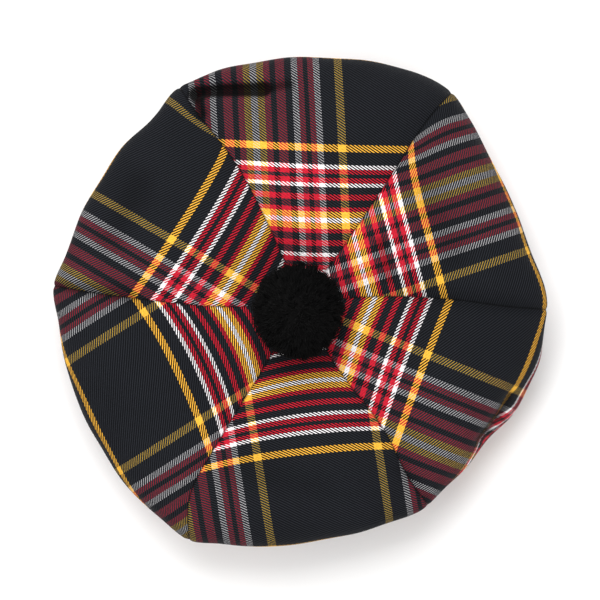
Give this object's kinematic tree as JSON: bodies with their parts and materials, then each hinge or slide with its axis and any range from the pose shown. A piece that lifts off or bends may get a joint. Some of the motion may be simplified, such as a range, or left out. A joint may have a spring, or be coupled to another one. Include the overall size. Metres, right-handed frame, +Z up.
{
  "type": "tam o shanter",
  "caption": "Round soft cloth cap with a gored tartan crown that overhangs a plain black headband, and a black yarn pompom on top.",
  "frame": {"origin": "middle of the outline, which is the middle of the headband, on the plane that the headband stands on", "axes": "+Z up out of the crown, +Y towards the top of the picture, +X towards its right"},
  "size_m": [0.2804, 0.2773, 0.0991],
  "materials": {
    "tartan_cloth": "wool twill woven in a tartan of charcoal, red, white and yellow",
    "band_cloth": "plain black twill",
    "pompom_yarn": "fluffy black yarn"
  },
  "bodies": {
    "root": {"crown_gore_1": "tartan_cloth", "crown_gore_2": "tartan_cloth", "crown_gore_3": "tartan_cloth", "crown_gore_4": "tartan_cloth", "crown_gore_5": "tartan_cloth", "crown_gore_6": "tartan_cloth", "headband": "band_cloth", "pompom": "pompom_yarn"}
  },
  "joints": []
}
